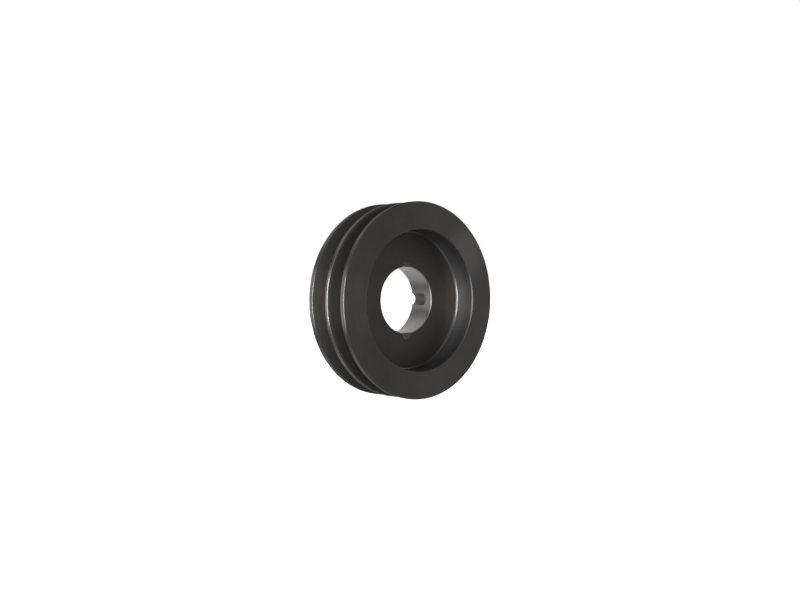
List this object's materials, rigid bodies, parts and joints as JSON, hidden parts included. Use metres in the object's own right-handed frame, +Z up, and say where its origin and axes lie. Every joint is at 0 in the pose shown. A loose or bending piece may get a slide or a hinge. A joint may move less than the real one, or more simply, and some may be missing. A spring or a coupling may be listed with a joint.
{
  "type": "v belt pulley",
  "caption": "Grooved V-belt pulley in dark cast iron, solid web with a deep recess in front, and a taper bore for a split bush.",
  "frame": {"origin": "the middle of the face width, on the pulley's axis", "axes": "+Y along the axis towards the flush back, where the large end of the taper bore is; the recessed front faces -Y; +Z up through one screw half-hole; +X through the removal pocket"},
  "size_m": [0.157, 0.044, 0.157],
  "materials": {
    "cast_iron": "turned all over and dark phosphated to a satin charcoal; the taper bore is left bright as bored"
  },
  "bodies": {
    "root": {"pulley": "cast_iron"}
  },
  "joints": []
}
